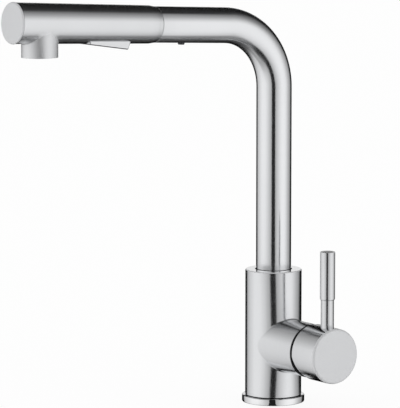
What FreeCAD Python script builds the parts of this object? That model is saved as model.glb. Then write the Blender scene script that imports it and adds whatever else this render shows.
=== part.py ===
import FreeCAD, Part
import math
import os
from FreeCAD import Placement, Rotation, Vector

# Pull-out kitchen faucet, in millimetres and degrees.
# The origin is the centre of the base ring's underside, on the deck. +Z is up,
# the spout points to -Y and the handle to +X.

# Spout tube. A reach is measured along the spout axis from the swivel axis.
tube_od = 28.0
tube_wall = 1.2
bend_radius = 51.0
spout_height = 301.3
spout_rise = 3.0
tube_reach = 115.4

# Spray head. An along is measured from its rear end.
head_gap = 0.3
head_taper_start = 5.4
head_rear_od = 29.5
head_front_od = 31.2
head_bore = 26.4
front_cap_od = 31.8
front_cap_thick = 2.0
front_cap_edge = 0.5
front_cap_round = 1.4
front_cap_spigot = 7.0
nozzle_od = 28.0
nozzle_wall = 1.4
nozzle_clear = 3.1
nozzle_drop = 25.6
nozzle_fillet = 1.5
pull_travel = 55.0

# Body, base ring and shank
body_od = 45.0
body_top = 107.0
body_bore = 40.0
body_edge = 0.7
top_plate = 4.0
spout_gap = 0.8
ring_od = 50.0
ring_height = 5.4
ring_edge = 0.6
gasket_inner = 38.0
gasket_width = 4.0
gasket_height = 1.5
shank_od = 34.0
shank_bore = 30.0
shank_length = 45.0
shank_flange = 6.0

# Neck and handle
neck_height = 47.6
neck_od = 42.4
neck_reach = 51.3
neck_bore = 35.4
neck_fillet = 1.2
cap_od = 43.6
cap_gap = 2.1
cap_reach = 82.2
cap_edge = 0.7
cap_round = 2.0
cap_wall = 3.0
cap_face = 4.0
cap_bevel = 18.0
cap_boss_od = 18.0
cap_boss_gap = 4.8
lever_reach = 71.1
lever_rod_od = 10.3
lever_grip_od = 11.8
lever_step = 90.5
lever_step_rise = 2.1
lever_top = 129.1
lever_edge = 0.6
lever_seat_depth = 3.6
lever_stud_od = 6.0
lever_stud = 9.0
set_screw_od = 5.0
set_screw_length = 8.0
set_screw_reach = 67.5

# Ceramic cartridge, along the neck axis from the swivel axis
seat_reach = 13.6
case_od = 35.0
case_wall = 1.5
case_start = 14.5
case_end = 45.0
case_plate = 2.0
base_thick = 5.4
fixed_disc_od = 30.4
moving_disc_od = 26.0
disc_thick = 3.5
disc_gap = 0.02
carrier_thick = 9.6
carrier_width = 18.0
carrier_height = 20.0
turret_od = 31.2
turret_neck_od = 21.6
turret_reach = 50.0
prong_thick = 3.3
prong_height = 16.0
prong_length = 7.8
pivot_reach = 42.0
pivot_pin_od = 4.0
stem_side = 8.0
stem_end = 72.0
stem_finger_od = 3.6
stem_ball_od = 5.6
stem_arm = 9.0
stem_window = 14.0
nut_thick = 5.5
nut_bore = 24.0
nut_slots = 4
nut_slot_width = 4.0
nut_slot_depth = 2.5
mix_chamber_width = 21.0
mix_chamber_top = 0.6
mix_chamber_depth = 1.8
mix_chamber_height = 23.0

# Waterway: socket holes for M8 x 1 hose tails, on a circle round the hose passage
tail_thread_bore = 6.92
tail_socket_od = 9.2
tail_socket_length = 10.0
tail_circle = 10.4
tail_spread = 62.0
duct_od = 4.4
riser_od = 4.7
inlet_rise = 3.0
outlet_drop = 9.0
port_seal_od = 7.0
port_seal_thick = 1.2
block_od = 39.2
block_top = 66.0
block_foot = 12.0
block_back = 8.5
block_room = 2.0

# Spout bearing inside the body
bush_bore = 33.2
bush_floor = 72.0
upper_bush_length = 11.0
lower_bush_length = 7.0
bush_shelf = 2.3
bush_shelf_bore = 18.0
circlip_thick = 1.6
circlip_bore = 29.8
circlip_groove = 36.0
circlip_opening = 40.0
foot_length = 11.6
foot_spigot = 10.0
foot_bore = 11.0
lock_groove = 3.4
lock_groove_depth = 1.5
lock_height = 81.7
lock_screw_od = 5.0
lock_screw_length = 4.6
lock_point_od = 2.8

# Hose and its dock
hose_od = 10.0
hose_end = -40.0
hose_lead = 3.2
dock_sleeve_length = 34.3
dock_sleeve_wall = 1.2
dock_plug_length = 18.0
dock_plug_flange = 10.0
dock_plug_bore = 17.2
dock_plug_taper = 0.6
dock_screw_inset = 26.4
dock_screw_od = 4.0
dock_screw_head_od = 5.2
dock_screw_head = 1.4
ferrule_length = 24.0
ferrule_od = 13.0
ferrule_neck_od = 11.0
ferrule_neck = 5.0
ferrule_head = 4.3
hose_bore = 6.0
washer_thick = 1.7
hose_nut_od = 16.6
hose_nut_lip = 3.0
hose_nut_length = 18.0
tail_pipe_od = 12.8

# Waterway core, diverter and toggle in the spray head
inlet_pipe = 13.6
core_length = 80.0
core_clear = 1.3
core_od = 25.6
inlet_bore = 7.2
valve_length = 11.0
valve_bore = 3.4
spool_along = 30.4
spool_length = 42.0
spool_od = 8.0
spool_neck_od = 2.4
spool_ring_width = 1.6
spool_ring_depth = 0.9
spool_ring_inset = 4.0
chamber_length = 52.0
link_pipe_od = 8.0
link_pipe_bore = 5.0
link_pipe = 6.2
toggle_width = 15.0
toggle_along = 25.0
toggle_length = 37.6
toggle_top = -12.4
toggle_front_low = -15.6
toggle_rear_low = -19.1
toggle_rear_lean = 2.2
toggle_round = 1.0
toggle_throw = 11.0
toggle_pin_along = 43.6
toggle_pin_up = -9.5
toggle_pin_od = 2.5
toggle_lug_width = 6.8
toggle_lug_length = 4.4
toggle_finger_width = 4.8
toggle_finger_thick = 3.0
toggle_tip_od = 4.0
toggle_arm = 6.0
pin_lug_thick = 2.4
pin_lug_length = 7.0
pin_lug_low = -11.3
pocket_ceiling = -7.0

# Spray nozzle
spray_recess = 1.2
spray_body_height = 13.0
manifold_od = 19.6
manifold_rise = 6.1
aerator_od = 13.0
aerator_height = 11.0
aerator_inset = 0.5
aerator_cell = 1.3
aerator_cell_pitch = 2.1
aerator_cell_depth = 4.0
spray_plate_inner = 15.4
spray_plate_outer = 22.6
spray_plate_height = 7.0
jet_count = 18
jet_od = 1.9
jet_bore = 0.9
jet_height = 0.7
spray_seal_height = 1.6
spray_seal_depth = 1.1
spray_seal_up = 10.0

# Clearances, radial for round pieces and per side for flat ones
running = 0.05
fitted = 0.1
easy = 0.2
loose = 0.3

# Frames of the neck and of the spray head. The local Z runs along the neck
# axis (world +X) or along the spout axis, whose local Y is up.
neck_frame = Placement(Vector(0, 0, neck_height), Rotation(Vector(0, 1, 0), 90))
head_frame = Placement(Vector(0, 0, spout_height), Rotation(Vector(1, 0, 0), 90 - spout_rise))

rise = math.radians(spout_rise)
tube_radius = tube_od / 2
tube_bore_radius = tube_radius - tube_wall
head_start = tube_reach + head_gap
core_start = head_start + dock_plug_flange
core_end = core_start + core_length
nozzle_bore = nozzle_od - 2 * nozzle_wall
nozzle_reach = core_end + core_clear + nozzle_bore / 2
head_reach = nozzle_reach + nozzle_bore / 2 + nozzle_clear + front_cap_spigot
toggle_rear = head_start + toggle_along
toggle_front = toggle_rear + toggle_length
toggle_pin_reach = head_start + toggle_pin_along
nozzle_axis = head_frame.multVec(Vector(0, 0, nozzle_reach))
nozzle_bottom = nozzle_axis.z - nozzle_drop


def placed(shape, frame):
    """A copy of a shape that was made in a local frame."""
    moved = shape.copy()
    moved.Placement = frame.multiply(moved.Placement)
    return moved


def turned(outline, frame=Placement()):
    """A solid of revolution from (distance along the axis, radius) points."""
    points = [Vector(radius, 0, along) for along, radius in outline]
    face = Part.Face(Part.makePolygon(points + points[:1]))
    return placed(face.revolve(Vector(0, 0, 0), Vector(0, 0, 1), 360), frame)


def sleeve(start, end, outer, inner, frame=Placement()):
    """A plain tube between two places on a frame's axis, from its diameters."""
    r_out, r_in = outer / 2, inner / 2
    return turned([(start, r_in), (start, r_out), (end, r_out), (end, r_in)], frame)


def plug(start, end, diameter, frame=Placement()):
    """A plain round solid between two places on a frame's axis."""
    return turned([(start, 0), (start, diameter / 2), (end, diameter / 2), (end, 0)], frame)


def bar(diameter, start, end):
    """A round bar between two points."""
    return Part.makeCylinder(diameter / 2, (end - start).Length, start, end - start)


def block(low, high):
    """A box between two corners."""
    return Part.makeBox(high[0] - low[0], high[1] - low[1], high[2] - low[2], Vector(*low))


def prism(points, half_width):
    """A head-frame plate across X from (reach, up) points, centred on X = 0."""
    corners = [Vector(-half_width, up, reach) for reach, up in points]
    face = Part.Face(Part.makePolygon(corners + corners[:1]))
    return face.extrude(Vector(2 * half_width, 0, 0))


turn = math.radians(90) - rise
bend_end_y = bend_radius * (math.cos(turn) - 1)
bend_low = spout_height - bend_end_y * math.tan(rise) - bend_radius * math.sin(turn)
bend_end_reach = -bend_end_y / math.cos(rise)


def on_bend(angle):
    """A point of the bend's middle line, by the angle turned from upright."""
    return Vector(0, bend_radius * (math.cos(angle) - 1), bend_low + bend_radius * math.sin(angle))


def spout_path(low, reach):
    """The line that the tube and the hose follow: up, round the bend and out."""
    bend = Part.Arc(on_bend(0), on_bend(turn / 2), on_bend(turn))
    rising = Part.LineSegment(Vector(0, 0, low), on_bend(0))
    running_out = Part.LineSegment(on_bend(turn), head_frame.multVec(Vector(0, 0, reach)))
    return Part.Wire([rising.toShape(), bend.toShape(), running_out.toShape()])


def swept(diameter, low, reach):
    """A round solid along the spout path."""
    ring = Part.Wire(Part.makeCircle(diameter / 2, Vector(0, 0, low), Vector(0, 0, 1)))
    return spout_path(low, reach).makePipeShell([ring], True, False)


def round_edges(shape, radius, chosen):
    """Fillet the edges for which chosen(point) holds all along."""
    def lies_on(edge):
        first, last = edge.ParameterRange
        return all(chosen(edge.valueAt(first + (last - first) * k / 6)) for k in range(7))
    return shape.makeFillet(radius, [edge for edge in shape.Edges if lies_on(edge)])


parts = {}

# Base ring: polished trim between the body and the deck, grooved below for the gasket
ring_radius = ring_od / 2
ring_bore_radius = shank_od / 2 + easy
groove_inner = gasket_inner / 2 - fitted
groove_outer = gasket_inner / 2 + gasket_width + fitted
parts["base_ring"] = turned([
    (0, ring_bore_radius), (0, groove_inner), (gasket_height, groove_inner),
    (gasket_height, groove_outer), (0, groove_outer), (0, ring_radius - ring_edge),
    (ring_edge, ring_radius), (ring_height - ring_edge, ring_radius),
    (ring_height, ring_radius - ring_edge), (ring_height, ring_bore_radius)])
parts["base_gasket"] = sleeve(0, gasket_height, gasket_inner + 2 * gasket_width, gasket_inner)

# Shank: screwed up into the body, clamps the base ring and passes through the deck
shank_flange_top = ring_height + shank_flange
parts["mounting_shank"] = turned([
    (-shank_length, shank_bore / 2), (-shank_length, shank_od / 2), (0, shank_od / 2),
    (0, shank_od / 2 - loose), (ring_height, shank_od / 2 - loose), (ring_height, body_bore / 2 - fitted),
    (shank_flange_top, body_bore / 2 - fitted), (shank_flange_top, shank_bore / 2)])

# Body: upright shell with the welded neck, bored for the waterway, the cartridge and the spout bushes
bush_top = body_top - top_plate
bush_seat_radius = bush_bore / 2
shell = turned([
    (ring_height, 0), (ring_height, body_od / 2 - body_edge), (ring_height + body_edge, body_od / 2),
    (body_top - body_edge, body_od / 2), (body_top, body_od / 2 - body_edge), (body_top, 0)])
shell = shell.fuse(turned([(0, 0), (0, neck_od / 2), (neck_reach - cap_edge, neck_od / 2),
                           (neck_reach, neck_od / 2 - cap_edge), (neck_reach, 0)], neck_frame))
shell = round_edges(shell.removeSplitter(), neck_fillet, lambda p: (
    abs(math.hypot(p.x, p.y) - body_od / 2) < 0.01
    and abs(math.hypot(p.y, p.z - neck_height) - neck_od / 2) < 0.01))
circlip_low = bush_floor - circlip_thick - fitted
bored = turned([
    (ring_height, 0), (ring_height, body_bore / 2), (block_top + block_room, body_bore / 2),
    (block_top + block_room, bush_seat_radius), (circlip_low, bush_seat_radius),
    (circlip_low, circlip_groove / 2), (bush_floor, circlip_groove / 2), (bush_floor, bush_seat_radius),
    (bush_top, bush_seat_radius), (bush_top, tube_radius + spout_gap), (body_top, tube_radius + spout_gap),
    (body_top, 0)])
shell = shell.cut(bored)
shell = shell.cut(plug(0, neck_reach, neck_bore, neck_frame))
lock_hole = bar(lock_screw_od + 2 * fitted, Vector(0, 0, lock_height), Vector(0, body_od, lock_height))
parts["body_shell"] = shell.cut(lock_hole)

# Spout bearing: two plastic bushes, the lower one with a shelf that carries the spout, and a circlip
bush_od = bush_bore - 2 * fitted
bush_id = tube_od + 2 * running
lower_bush_top = bush_floor + lower_bush_length
parts["upper_bush"] = sleeve(bush_top - upper_bush_length, bush_top, bush_od, bush_id)
parts["lower_bush"] = turned([
    (bush_floor, bush_shelf_bore / 2), (bush_floor, bush_od / 2), (lower_bush_top, bush_od / 2),
    (lower_bush_top, bush_id / 2), (bush_floor + bush_shelf, bush_id / 2),
    (bush_floor + bush_shelf, bush_shelf_bore / 2)])
circlip = sleeve(bush_floor - circlip_thick, bush_floor, circlip_groove - 2 * fitted, circlip_bore)
opening_half = circlip_groove * math.tan(math.radians(circlip_opening / 2))
clip_gap = Part.Face(Part.makePolygon([
    Vector(0, 0, circlip_low), Vector(-circlip_groove, -opening_half, circlip_low),
    Vector(-circlip_groove, opening_half, circlip_low), Vector(0, 0, circlip_low)]))
parts["bush_circlip"] = circlip.cut(clip_gap.extrude(Vector(0, 0, 2 * circlip_thick)))

# Lock screw at the back: its point runs in the groove of the spout foot
lock_point_end = tube_radius - lock_groove_depth + loose
lock_screw_tail = body_od / 2 - lock_screw_length
parts["spout_lock_screw"] = turned([
    (lock_point_end, 0), (lock_point_end, lock_point_od / 2), (lock_screw_tail - 1, lock_point_od / 2),
    (lock_screw_tail - 1, lock_screw_od / 2), (body_od / 2 - 1, lock_screw_od / 2), (body_od / 2 - 1, 0)],
    Placement(Vector(0, 0, lock_height), Rotation(Vector(1, 0, 0), -90)))

# Waterway block: hose passage in the middle, three hose-tail sockets below, a seat for the cartridge
passage_od = hose_od + 2 * loose
waterway = sleeve(shank_flange_top, block_top, block_od, passage_od)
waterway = waterway.cut(plug(seat_reach, body_od, case_od + 2 * easy, neck_frame))
waterway = waterway.cut(block((-block_od, -block_od, shank_flange_top + block_foot),
                              (-block_back, block_od, block_top + 1)))
spread = math.radians(tail_spread)
inlet_x, inlet_y = tail_circle * math.cos(spread), tail_circle * math.sin(spread)
inlet_z = neck_height + inlet_rise
outlet_z = neck_height - outlet_drop
tails = [(inlet_x, -inlet_y, inlet_z), (inlet_x, inlet_y, inlet_z), (tail_circle, 0, outlet_z)]
sockets, passages = [], []
for x, y, z in tails:
    mouth = Vector(x, y, shank_flange_top)
    seat = mouth + Vector(0, 0, tail_socket_length)
    passages += [bar(tail_socket_od + 2 * fitted, mouth, seat),
                 bar(riser_od, mouth, Vector(x, y, z + riser_od / 2)),
                 bar(duct_od, Vector(x, y, z), Vector(seat_reach + duct_od, y, z))]
    sockets.append(bar(tail_socket_od, mouth, seat).cut(bar(tail_thread_bore, mouth, seat)))
parts["water_block"] = waterway.cut(passages)
parts["hose_tail_sockets"] = Part.makeCompound(sockets)

# Cartridge base, discs and seals. Ports are (y, z) from the neck axis.
ports = [(y, z - neck_height) for x, y, z in tails]
base_end = seat_reach + base_thick
case_bore = case_od - 2 * case_wall


def ported(solid, start, end, diameter):
    """A solid with a hole at each port, between two reaches along the neck."""
    for y, up in ports:
        centre = Vector(start, y, neck_height + up)
        solid = solid.cut(bar(diameter, centre, centre + Vector(end - start, 0, 0)))
    return solid


def port_rings(start):
    """Rubber rings that seal the three ports."""
    rings = []
    for y, up in ports:
        centre = Vector(start, y, neck_height + up)
        end = centre + Vector(port_seal_thick, 0, 0)
        rings.append(bar(port_seal_od, centre, end).cut(bar(duct_od, centre, end)))
    return Part.makeCompound(rings)


disc_seal_start = base_end - port_seal_thick
cartridge_base = plug(seat_reach, base_end, case_bore - 2 * fitted, neck_frame)
cartridge_base = ported(cartridge_base, seat_reach, base_end, duct_od)
cartridge_base = ported(cartridge_base, seat_reach, seat_reach + port_seal_thick, port_seal_od + 2 * fitted)
parts["cartridge_base"] = ported(cartridge_base, disc_seal_start, base_end, port_seal_od + 2 * fitted)
parts["port_seals"] = port_rings(seat_reach)
parts["disc_seals"] = port_rings(disc_seal_start)
fixed_end = base_end + disc_thick
fixed_disc = plug(base_end, fixed_end, fixed_disc_od, neck_frame)
parts["fixed_disc"] = ported(fixed_disc, base_end, fixed_end, duct_od)

# Moving disc: its hollow joins the inlets to the outlet once the lever is tilted
moving_start = fixed_end + disc_gap
moving_end = moving_start + disc_thick
moving_disc = plug(moving_start, moving_end, moving_disc_od, neck_frame)
chamber = plug(moving_start, moving_start + mix_chamber_depth, mix_chamber_height, neck_frame)
chamber = chamber.common(block((moving_start - 1, -mix_chamber_width / 2, neck_height - moving_disc_od),
                               (moving_end, mix_chamber_width / 2, neck_height + mix_chamber_top)))
parts["moving_disc"] = moving_disc.cut(chamber)

# Carrier: slides between the turret's prongs, pushed by the ball on the stem
carrier_end = moving_end + carrier_thick
ball_reach = pivot_reach - stem_arm
ball_slot = stem_ball_od / 2 + easy
carrier = block((moving_end, -carrier_width / 2, neck_height - carrier_height / 2),
                (carrier_end, carrier_width / 2, neck_height + carrier_height / 2))
carrier = carrier.cut(block((ball_reach - ball_slot - easy, -ball_slot, neck_height - ball_slot),
                            (carrier_end, ball_slot, neck_height + ball_slot)))
parts["disc_carrier"] = carrier

# Turret: turns in the case, holds the pivot pin and lets the stem tilt through its window
turret_start = carrier_end + easy
turret_shoulder = case_end - case_plate - fitted
turret = plug(turret_start, turret_shoulder, turret_od, neck_frame)
turret = turret.fuse(plug(turret_shoulder, turret_reach, turret_neck_od, neck_frame))
prong_inner = carrier_width / 2 + easy
for side in (-1, 1):
    inner, outer = sorted((side * prong_inner, side * (prong_inner + prong_thick)))
    turret = turret.fuse(block((turret_start - prong_length, inner, neck_height - prong_height / 2),
                               (turret_start + 1, outer, neck_height + prong_height / 2)))
stem_slot = stem_side / 2 + easy
turret = turret.cut(block((turret_start - 1, -stem_slot, neck_height - stem_window / 2),
                          (turret_reach + 1, stem_slot, neck_height + stem_window / 2)))
pivot_half = turret_neck_od / 2 - loose
pin_start = Vector(pivot_reach, -pivot_half, neck_height)
pin_end = Vector(pivot_reach, pivot_half, neck_height)
parts["cartridge_turret"] = turret.removeSplitter().cut(bar(pivot_pin_od + 2 * running, pin_start, pin_end))
parts["pivot_pin"] = bar(pivot_pin_od, pin_start, pin_end)

# Case and the ring nut that presses it onto the waterway block
parts["cartridge_case"] = turned([
    (case_start, case_bore / 2), (case_start, case_od / 2), (case_end, case_od / 2),
    (case_end, turret_neck_od / 2 + fitted), (case_end - case_plate, turret_neck_od / 2 + fitted),
    (case_end - case_plate, case_bore / 2)], neck_frame)
nut_end = case_end + nut_thick
nut = sleeve(case_end, nut_end, neck_bore - 2 * fitted, nut_bore, neck_frame)
for index in range(nut_slots):
    notch = block((nut_end - nut_slot_depth, -nut_slot_width / 2, neck_height),
                  (nut_end + 1, nut_slot_width / 2, neck_height + (nut_bore / 2 + nut_slot_depth)))
    nut = nut.cut(notch.rotate(Vector(0, 0, neck_height), Vector(1, 0, 0), index * 360 / nut_slots))
parts["cartridge_nut"] = nut

# Stem: square bar on the pivot pin, with the finger and ball that push the carrier
stem_start = pivot_reach - stem_side / 2
stem = block((stem_start, -stem_side / 2, neck_height - stem_side / 2),
             (stem_end, stem_side / 2, neck_height + stem_side / 2))
ball_centre = Vector(ball_reach, 0, neck_height)
stem = stem.fuse([bar(stem_finger_od, ball_centre, Vector(stem_start + 1, 0, neck_height)),
                  Part.makeSphere(stem_ball_od / 2, ball_centre)])
pin_bore = bar(pivot_pin_od + 2 * running, Vector(pivot_reach, -stem_side, neck_height),
               Vector(pivot_reach, stem_side, neck_height))
parts["cartridge_stem"] = stem.cut(pin_bore)

# Handle cap: a cup with a bevelled lower rim that lets it tilt, a boss for the stem,
# a post under the lever and another round the set screw
cap_start = neck_reach + cap_gap
cap_radius = cap_od / 2
cap_inner = cap_radius - cap_wall
cap_floor = cap_reach - cap_face
cap_boss_start = neck_reach + cap_boss_gap
post_od = lever_rod_od + 2 * cap_wall
cap = turned([
    (cap_start, cap_inner), (cap_start, cap_radius - cap_edge), (cap_start + cap_edge, cap_radius),
    (cap_reach, cap_radius), (cap_reach, 0),
    (cap_boss_start, 0), (cap_boss_start, cap_boss_od / 2), (cap_floor, cap_boss_od / 2),
    (cap_floor, cap_inner)], neck_frame)
cap = round_edges(cap, cap_round, lambda p: (
    abs(p.x - cap_reach) < 0.01 and abs(math.hypot(p.y, p.z - neck_height) - cap_radius) < 0.01))
lever_seat = neck_height + cap_radius - lever_seat_depth
lever_foot = Vector(lever_reach, 0, lever_seat)
cap_middle = cap_radius - cap_wall / 2
post = bar(post_od, Vector(lever_reach, 0, neck_height), Vector(lever_reach, 0, neck_height + cap_middle))
screw_post_od = set_screw_od + 2 * cap_wall
screw_post = bar(screw_post_od, Vector(set_screw_reach, 0, neck_height),
                 Vector(set_screw_reach, 0, neck_height - cap_middle))
inside = plug(cap_boss_start, cap_reach - cap_face / 2, 2 * cap_middle, neck_frame)
cap = cap.fuse([post.common(inside), screw_post.common(inside)])
slope = math.tan(math.radians(cap_bevel))
wedge_points = [(cap_start, 0), (cap_start + cap_od * slope, -cap_od),
                (neck_reach, -cap_od), (neck_reach, 0)]
wedge_corners = [Vector(x, -cap_od, neck_height + up) for x, up in wedge_points]
wedge = Part.Face(Part.makePolygon(wedge_corners + wedge_corners[:1])).extrude(Vector(0, 2 * cap_od, 0))
socket_half = stem_side / 2 + running
cap = cap.removeSplitter().cut([
    wedge,
    block((cap_boss_start - 1, -socket_half, neck_height - socket_half),
          (stem_end + easy, socket_half, neck_height + socket_half)),
    bar(lever_rod_od + 2 * fitted, lever_foot, lever_foot + Vector(0, 0, cap_radius)),
    bar(lever_stud_od + 2 * fitted, lever_foot, lever_foot - Vector(0, 0, lever_stud + easy)),
    bar(set_screw_od + 2 * fitted, Vector(set_screw_reach, 0, neck_height),
        Vector(set_screw_reach, 0, neck_height - cap_od))])
parts["handle_cap"] = cap
screw_top = neck_height - stem_side / 2
parts["handle_set_screw"] = bar(set_screw_od, Vector(set_screw_reach, 0, screw_top),
                                Vector(set_screw_reach, 0, screw_top - set_screw_length))

# Lever: one turned bar with a thicker grip, screwed into the cap by its stud
lever_frame = Placement(Vector(lever_reach, 0, 0), Rotation())
grip_start = lever_step + lever_step_rise
grip_radius = lever_grip_od / 2
stud_end = lever_seat - lever_stud
parts["lever"] = turned([
    (stud_end, 0), (stud_end, lever_stud_od / 2), (lever_seat, lever_stud_od / 2),
    (lever_seat, lever_rod_od / 2), (lever_step, lever_rod_od / 2), (grip_start, grip_radius),
    (lever_top - lever_edge, grip_radius), (lever_top, grip_radius - lever_edge),
    (lever_top, 0)], lever_frame)

# Spout tube and the foot brazed into its lower end
foot_low = bush_floor + bush_shelf + running
tube_low = foot_low + foot_length
spout_bore = swept(2 * tube_bore_radius, tube_low, tube_reach)
parts["spout_tube"] = swept(tube_od, tube_low, tube_reach).cut(spout_bore)
groove_low = lock_height - lock_groove / 2
groove_top = groove_low + lock_groove
groove_radius = tube_radius - lock_groove_depth
spigot_radius = tube_bore_radius - fitted
parts["spout_foot"] = turned([
    (foot_low, foot_bore / 2), (foot_low, tube_radius), (groove_low, tube_radius),
    (groove_low, groove_radius), (groove_top, groove_radius), (groove_top, tube_radius),
    (tube_low, tube_radius), (tube_low, spigot_radius), (tube_low + foot_spigot, spigot_radius),
    (tube_low + foot_spigot, foot_bore / 2)])

# Dock sleeve in the mouth of the spout, with the screw that holds it from below
sleeve_radius = tube_bore_radius - fitted
sleeve_bore = sleeve_radius - dock_sleeve_wall
dock_sleeve_start = tube_reach - dock_sleeve_length
dock_sleeve = turned([
    (dock_sleeve_start, sleeve_bore), (dock_sleeve_start, sleeve_radius), (tube_reach, sleeve_radius),
    (tube_reach, sleeve_bore + dock_sleeve_wall / 2), (tube_reach - 2 * dock_sleeve_wall, sleeve_bore)],
    head_frame)
dock_screw_reach = tube_reach - dock_screw_inset
screw_deep = Vector(0, -sleeve_bore, dock_screw_reach)
screw_out = Vector(0, -2 * tube_radius, dock_screw_reach)
screw_hole = placed(bar(dock_screw_od + 2 * fitted, Vector(0, 0, dock_screw_reach), screw_out), head_frame)
parts["dock_sleeve"] = dock_sleeve.cut(screw_hole)
parts["spout_tube"] = parts["spout_tube"].cut(screw_hole)
head_rest = Vector(0, -tube_radius, dock_screw_reach)
head_low = head_rest - Vector(0, dock_screw_head, 0)
screw_head = bar(dock_screw_head_od, head_rest, head_low)
low_rim = [edge for edge in screw_head.Edges if edge.BoundBox.YMax < head_low.y + 0.01]
screw = bar(dock_screw_od, screw_deep, head_rest).fuse(screw_head.makeChamfer(dock_screw_head / 3, low_rim))
parts["dock_screw"] = placed(screw.removeSplitter(), head_frame)

# Hose: the bent stretch turns with the spout, the straight stretch is pulled out with the head
hose_split = bend_end_reach + hose_lead
pipe_start = core_start - inlet_pipe
ferrule_end = pipe_start - washer_thick
ferrule_neck_end = ferrule_end - ferrule_head
hose_stop = ferrule_neck_end - ferrule_neck
parts["hose_in_spout"] = swept(hose_od, hose_end, hose_split)
parts["pull_hose"] = sleeve(hose_split + easy, hose_stop, hose_od, hose_bore, head_frame)

# Hose end: crimped ferrule with a flared head, washer and the nut that draws it to the spray head
ferrule_start = hose_stop - ferrule_length
ferrule_head_radius = tail_pipe_od / 2
parts["hose_ferrule"] = turned([
    (ferrule_start, hose_od / 2 + running), (ferrule_start, ferrule_od / 2), (hose_stop, ferrule_od / 2),
    (hose_stop, ferrule_neck_od / 2), (ferrule_neck_end, ferrule_neck_od / 2),
    (ferrule_neck_end, ferrule_head_radius), (ferrule_end, ferrule_head_radius), (ferrule_end, hose_bore / 2),
    (hose_stop, hose_bore / 2), (hose_stop, hose_od / 2 + running)], head_frame)
parts["hose_washer"] = sleeve(ferrule_end, pipe_start, tail_pipe_od, hose_bore, head_frame)
nut_lip_start = ferrule_neck_end - hose_nut_lip
nut_inner = tail_pipe_od / 2 + fitted
parts["hose_nut"] = turned([
    (nut_lip_start, ferrule_neck_od / 2 + fitted), (nut_lip_start, hose_nut_od / 2),
    (nut_lip_start + hose_nut_length, hose_nut_od / 2), (nut_lip_start + hose_nut_length, nut_inner),
    (ferrule_neck_end, nut_inner), (ferrule_neck_end, ferrule_neck_od / 2 + fitted)], head_frame)

# Dock plug: closes the rear of the spray head and slips into the dock sleeve
plug_radius = sleeve_bore - easy
plug_tail = head_start - dock_plug_length
plug_flange_radius = head_bore / 2 - fitted
parts["dock_plug"] = turned([
    (plug_tail, dock_plug_bore / 2), (plug_tail, plug_radius - dock_plug_taper), (head_start, plug_radius),
    (head_start, plug_flange_radius), (core_start, plug_flange_radius),
    (core_start, dock_plug_bore / 2)], head_frame)

# Spray head shell: tapered tube with the outlet branch, open below for the toggle
rear_radius, front_radius = head_rear_od / 2, head_front_od / 2
taper_start = head_start + head_taper_start
head = turned([(head_start, 0), (head_start, tube_radius), (taper_start, rear_radius),
               (head_reach, front_radius), (head_reach, 0)], head_frame)
outlet_low = Vector(0, nozzle_axis.y, nozzle_bottom)
head = head.fuse(bar(nozzle_od, outlet_low, nozzle_axis)).removeSplitter()
head = round_edges(head, nozzle_fillet, lambda p: (
    abs(math.hypot(p.x, p.y - nozzle_axis.y) - nozzle_od / 2) < 0.01 and p.z > nozzle_bottom + 1))
head_hollow = plug(head_start, head_reach, head_bore, head_frame)
toggle_slot_half = toggle_width / 2 + easy
toggle_slot = block((-toggle_slot_half, -head_front_od, toggle_rear - loose),
                    (toggle_slot_half, pocket_ceiling, toggle_front + loose))
parts["head_shell"] = head.cut([head_hollow, bar(nozzle_bore, outlet_low, nozzle_axis),
                                placed(toggle_slot, head_frame)])

# Front cap: turned disc with a spigot in the shell's open end
cap_front = head_reach + front_cap_thick
front_cap_radius = front_cap_od / 2
spigot_out = head_bore / 2 - fitted
spigot_start = head_reach - front_cap_spigot
front_cap = turned([
    (spigot_start, spigot_out - 2 * front_cap_edge), (spigot_start, spigot_out), (head_reach, spigot_out),
    (head_reach, front_cap_radius - front_cap_edge), (head_reach + front_cap_edge, front_cap_radius),
    (cap_front, front_cap_radius), (cap_front, 0), (head_reach, 0),
    (head_reach, spigot_out - 2 * front_cap_edge)])
front_cap = round_edges(front_cap, front_cap_round, lambda p: (
    abs(p.z - cap_front) < 0.01 and abs(math.hypot(p.x, p.y) - front_cap_radius) < 0.01))
parts["front_cap"] = placed(front_cap, head_frame)

# Waterway core: inlet pipe, check valve, diverter chamber and the link pipe to the nozzle
core = plug(pipe_start, core_start, tail_pipe_od).fuse([
    plug(core_start, core_end, core_od), plug(core_end, core_end + link_pipe, link_pipe_od)])
spool_start = head_start + spool_along
chamber_start = spool_start - (chamber_length - spool_length) / 2
chamber_end = chamber_start + chamber_length
chamber_od = spool_od + 2 * fitted
valve_start = pipe_start + 1
on_axis = [Vector(0, 0, reach) for reach in (pipe_start, chamber_start, chamber_end, core_end + link_pipe)]
pocket_half = toggle_slot_half + easy
pocket_box = block((-pocket_half, -core_od, toggle_rear - 2 * loose),
                   (pocket_half, pocket_ceiling, toggle_front + 2 * loose))
finger_room = toggle_tip_od / 2 + toggle_arm * math.sin(math.radians(toggle_throw)) + 2 * easy
finger_slot_half = toggle_finger_width / 2 + easy
finger_slot = block((-finger_slot_half, pocket_ceiling - 1, toggle_pin_reach - finger_room),
                    (finger_slot_half, 0, toggle_pin_reach + finger_room))
core = core.cut([bar(inlet_bore, on_axis[0], on_axis[1]), bar(chamber_od, on_axis[1], on_axis[2]),
                 bar(link_pipe_bore, on_axis[2], on_axis[3]), pocket_box, finger_slot])
pin_half = toggle_lug_width / 2 + easy + pin_lug_thick
for side in (-1, 1):
    inner, outer = sorted((side * (pin_half - pin_lug_thick), side * pin_half))
    core = core.fuse(block((inner, pin_lug_low, toggle_pin_reach - pin_lug_length / 2),
                           (outer, pocket_ceiling + 1, toggle_pin_reach + pin_lug_length / 2)))
pin_line = [Vector(side * pin_half, toggle_pin_up, toggle_pin_reach) for side in (-1, 1)]
core = core.removeSplitter().cut(bar(toggle_pin_od + 2 * running, *pin_line))
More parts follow.
